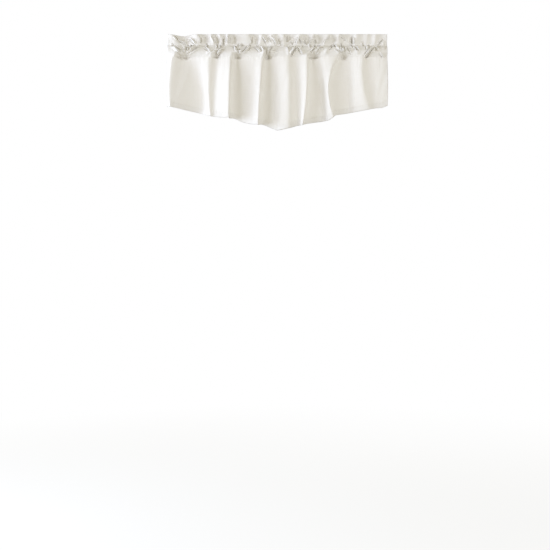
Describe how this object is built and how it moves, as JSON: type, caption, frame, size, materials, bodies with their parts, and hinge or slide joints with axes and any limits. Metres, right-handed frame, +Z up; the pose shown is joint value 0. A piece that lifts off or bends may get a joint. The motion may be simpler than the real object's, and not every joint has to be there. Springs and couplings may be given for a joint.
{
  "type": "window valance",
  "caption": "Gathered cotton window valance with a frilled heading over an open rod pocket, soft uneven folds, and a hem that falls from both sides to a shallow point.",
  "frame": {"origin": "middle of the top edge, in the plane of the rod", "axes": "+X along the rod to the right as seen from the room, +Y towards the wall, +Z up"},
  "size_m": [0.8736, 0.0507, 0.3837],
  "materials": {
    "natural_cotton": "plain woven cream cotton duck, matt"
  },
  "bodies": {
    "root": {"heading": "natural_cotton", "drop_panel": "natural_cotton"}
  },
  "joints": []
}
